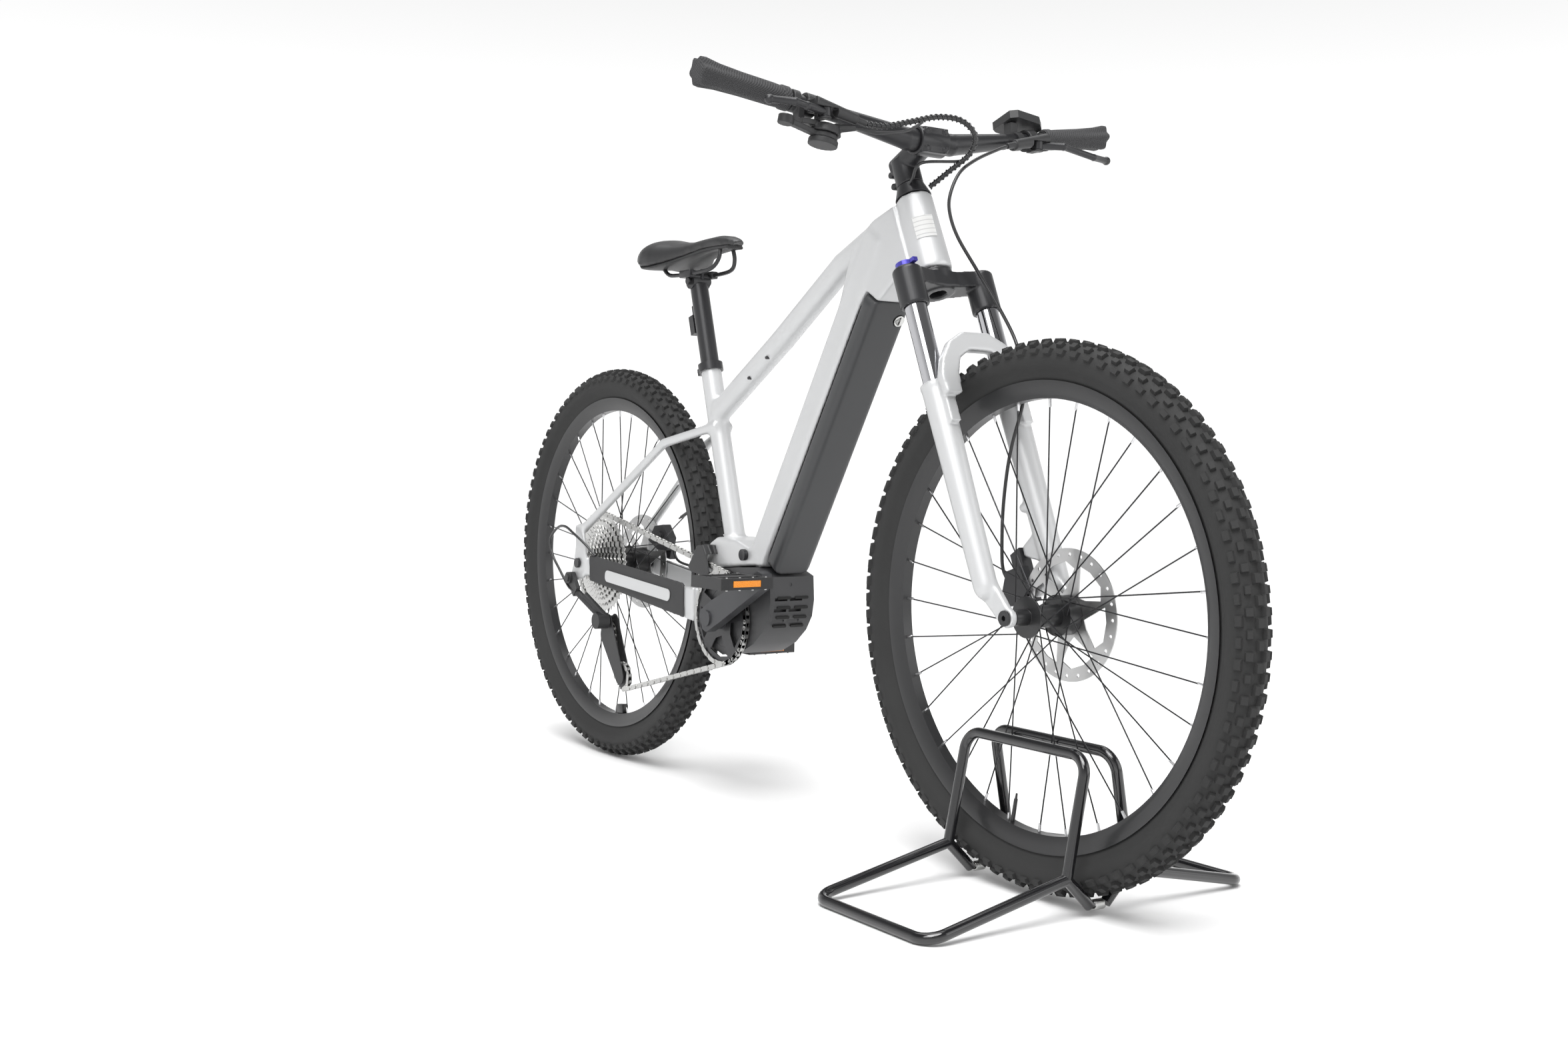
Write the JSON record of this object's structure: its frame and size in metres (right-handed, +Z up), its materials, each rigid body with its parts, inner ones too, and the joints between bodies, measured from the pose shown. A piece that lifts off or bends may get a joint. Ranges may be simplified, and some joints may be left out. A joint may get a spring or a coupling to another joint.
{
  "type": "bicycle on stand",
  "caption": "Battery-assisted hardtail mountain bicycle with suspension fork, disc brakes and chain drive, its front wheel held in a folding tubular floor stand.",
  "frame": {"origin": "on the floor midway between the two wheel axles, in the bicycle's middle plane", "axes": "+X forward, +Y to the rider's left, +Z up"},
  "size_m": [1.916, 0.7526, 1.1082],
  "materials": {
    "silver_paint": "satin",
    "black_metal": "satin",
    "grey_metal": "matte",
    "black_plastic": "matte",
    "grey_plastic": "matte",
    "soft_guard": "matte",
    "cable_cover": "satin",
    "chain_steel": "brushed",
    "dark_steel": "brushed",
    "saddle_cover": "smooth",
    "chrome": "polished",
    "lockout_blue": "satin",
    "tyre": "matte",
    "stand_paint": "gloss"
  },
  "bodies": {
    "frame": {"main_frame": "silver_paint", "frame_fittings": "black_metal", "seat_collar": "black_metal", "motor_unit": "grey_metal", "motor_cover": "grey_plastic", "chain_guide": "black_plastic", "stay_guard": "soft_guard", "rear_caliper": "black_metal", "gear_mech": "black_metal", "rear_lines": "cable_cover", "chain": "chain_steel"},
    "battery": {"battery": "grey_plastic"},
    "lock": {"lock_barrel": "black_metal"},
    "seat": {"seatpost": "black_metal"},
    "saddle": {"saddle_pad": "saddle_cover", "saddle_base": "black_plastic", "saddle_rails": "dark_steel"},
    "steering": {"fork_crown": "black_metal", "stanchions": "chrome", "stem": "black_metal", "handlebar": "black_metal", "bearing_cover": "black_metal", "grip_right": "soft_guard", "grip_left": "soft_guard", "master_right": "black_metal", "master_left": "black_metal", "shifter": "black_plastic", "remote": "black_plastic", "front_hose": "cable_cover", "bar_cables": "cable_cover"},
    "lever_right": {"lever_right": "black_metal"},
    "lever_left": {"lever_left": "black_metal"},
    "paddle": {"shift_paddle": "black_plastic"},
    "lockout": {"lockout_lever": "lockout_blue"},
    "lowers": {"fork_lowers": "silver_paint", "front_axle": "black_metal", "front_caliper": "black_metal"},
    "front_wheel": {"front_tyre": "tyre", "front_rim": "black_metal", "front_spokes": "black_metal", "front_hub": "black_metal", "front_disc": "chain_steel"},
    "stand_right": {"stand_right": "stand_paint", "stand_springs": "dark_steel"},
    "stand_left": {"stand_left": "stand_paint"},
    "rear_wheel": {"rear_tyre": "tyre", "rear_rim": "black_metal", "rear_spokes": "black_metal", "rear_hub": "black_metal", "rear_disc": "chain_steel"},
    "cassette": {"cassette": "dark_steel"},
    "crankset": {"crank_right": "grey_metal", "chainring": "black_metal", "crank_left": "grey_metal"},
    "pedal_right": {"pedal_right": "black_plastic"},
    "pedal_left": {"pedal_left": "black_plastic"},
    "cage": {"mech_cage": "black_metal"},
    "guide": {"guide_pulley": "black_plastic"},
    "tension": {"tension_pulley": "black_plastic"}
  },
  "joints": [
    {"name": "steer", "type": "hinge", "parent": "frame", "child": "steering", "pos_m": [0.542, 0, 0.374], "axis": [-0.3891, 0, 0.9212], "range_deg": [-50, 50]},
    {"name": "fork_slide", "type": "slide", "parent": "steering", "child": "lowers", "axis": [-0.3891, 0, 0.9212], "range_m": [0, 0.09], "stiffness_N_per_m": 8000, "springref_m": -0.02, "deforming": ["front_hose"]},
    {"name": "front_spin", "type": "hinge", "parent": "lowers", "child": "front_wheel", "pos_m": [0.589, 0, 0.374], "axis": [0, 1, 0], "continuous": true},
    {"name": "rear_spin", "type": "hinge", "parent": "frame", "child": "rear_wheel", "pos_m": [-0.589, 0, 0.369], "axis": [0, 1, 0], "continuous": true},
    {"name": "crank_spin", "type": "hinge", "parent": "frame", "child": "crankset", "pos_m": [-0.132, 0, 0.307], "axis": [0, 1, 0], "continuous": true, "deforming": ["chain"]},
    {"name": "cassette_spin", "type": "hinge", "parent": "frame", "child": "cassette", "pos_m": [-0.589, 0, 0.369], "axis": [0, 1, 0], "continuous": true},
    {"name": "pedal_right_spin", "type": "hinge", "parent": "crankset", "child": "pedal_right", "pos_m": [0.02118, 0, 0.38072], "axis": [0, 1, 0], "continuous": true},
    {"name": "pedal_left_spin", "type": "hinge", "parent": "crankset", "child": "pedal_left", "pos_m": [-0.28518, 0, 0.23328], "axis": [0, 1, 0], "continuous": true},
    {"name": "cage_swing", "type": "hinge", "parent": "frame", "child": "cage", "pos_m": [-0.549, 0, 0.262], "axis": [0, 1, 0], "range_deg": [-5, 20], "stiffness_Nm_per_rad": 4},
    {"name": "guide_spin", "type": "hinge", "parent": "cage", "child": "guide", "pos_m": [-0.563, 0, 0.233], "axis": [0, 1, 0], "continuous": true},
    {"name": "tension_spin", "type": "hinge", "parent": "cage", "child": "tension", "pos_m": [-0.503, 0, 0.161], "axis": [0, 1, 0], "continuous": true},
    {"name": "battery_out", "type": "slide", "parent": "frame", "child": "battery", "axis": [0.8563, 0, -0.5165], "range_m": [0, 0.055]},
    {"name": "lock_turn", "type": "hinge", "parent": "battery", "child": "lock", "pos_m": [0.22892, 0.023, 0.78999], "axis": [0.8563, 0, -0.5165], "range_deg": [0, 90]},
    {"name": "seat_height", "type": "slide", "parent": "frame", "child": "seat", "axis": [-0.2874, 0, 0.9578], "range_m": [-0.03, 0.06]},
    {"name": "saddle_tilt", "type": "hinge", "parent": "seat", "child": "saddle", "pos_m": [-0.30451, 0, 0.882], "axis": [0, 1, 0], "range_deg": [-6, 6]},
    {"name": "lever_right_pull", "type": "hinge", "parent": "steering", "child": "lever_right", "pos_m": [0.344, -0.196, 1.051], "axis": [0, 0, -1], "range_deg": [0, 15], "stiffness_Nm_per_rad": 2, "springref_deg": -2.86},
    {"name": "lever_left_pull", "type": "hinge", "parent": "steering", "child": "lever_left", "pos_m": [0.344, 0.196, 1.051], "axis": [0, 0, 1], "range_deg": [0, 15], "stiffness_Nm_per_rad": 2, "springref_deg": -2.86},
    {"name": "paddle_push", "type": "hinge", "parent": "steering", "child": "paddle", "pos_m": [0.33, -0.19, 1.008], "axis": [0, 0.2079, 0.9781], "range_deg": [0, 25], "stiffness_Nm_per_rad": 0.5, "springref_deg": -2.86},
    {"name": "lockout_turn", "type": "hinge", "parent": "steering", "child": "lockout", "pos_m": [0.36391, -0.066, 0.84698], "axis": [-0.3891, 0, 0.9212], "range_deg": [0, 90]},
    {"name": "stand_drop", "type": "slide", "parent": "lowers", "child": "stand_right", "axis": [0, 0, -1], "range_m": [0, 0.08]},
    {"name": "stand_open", "type": "hinge", "parent": "stand_right", "child": "stand_left", "pos_m": [0.586, 0, 0.0142], "axis": [-1, 0, 0], "range_deg": [0, 20], "stiffness_Nm_per_rad": 12, "springref_deg": -5.73, "deforming": ["stand_springs"]}
  ],
  "couplings": [
    {"joint": "cassette_spin", "follows": "crank_spin", "ratio": 0.82609},
    {"joint": "guide_spin", "follows": "crank_spin", "ratio": -3.1667},
    {"joint": "tension_spin", "follows": "crank_spin", "ratio": 3.1667}
  ]
}
